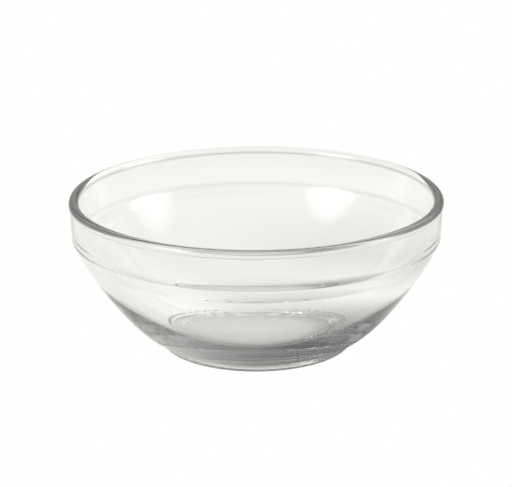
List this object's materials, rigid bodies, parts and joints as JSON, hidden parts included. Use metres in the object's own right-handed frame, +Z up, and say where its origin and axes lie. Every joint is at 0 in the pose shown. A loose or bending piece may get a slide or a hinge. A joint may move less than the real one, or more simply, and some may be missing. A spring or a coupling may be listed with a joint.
{
  "type": "prep bowl",
  "caption": "Clear pressed-glass prep bowl with a rounded rim bead, an upright collar and a stacking shoulder on a low foot ring, for holding measured ingredients.",
  "frame": {"origin": "centre of the face that the foot ring rests on", "axes": "+Z up, out of the bowl's mouth; the bowl is round about Z, so X and Y lie anywhere in the table's plane"},
  "size_m": [0.14, 0.14, 0.0575],
  "materials": {
    "clear_glass": "clear soda-lime glass, pressed and fire-polished, smooth and glossy, with a faint grey-green cast where it is thick"
  },
  "bodies": {
    "root": {"bowl": "clear_glass"}
  },
  "joints": []
}
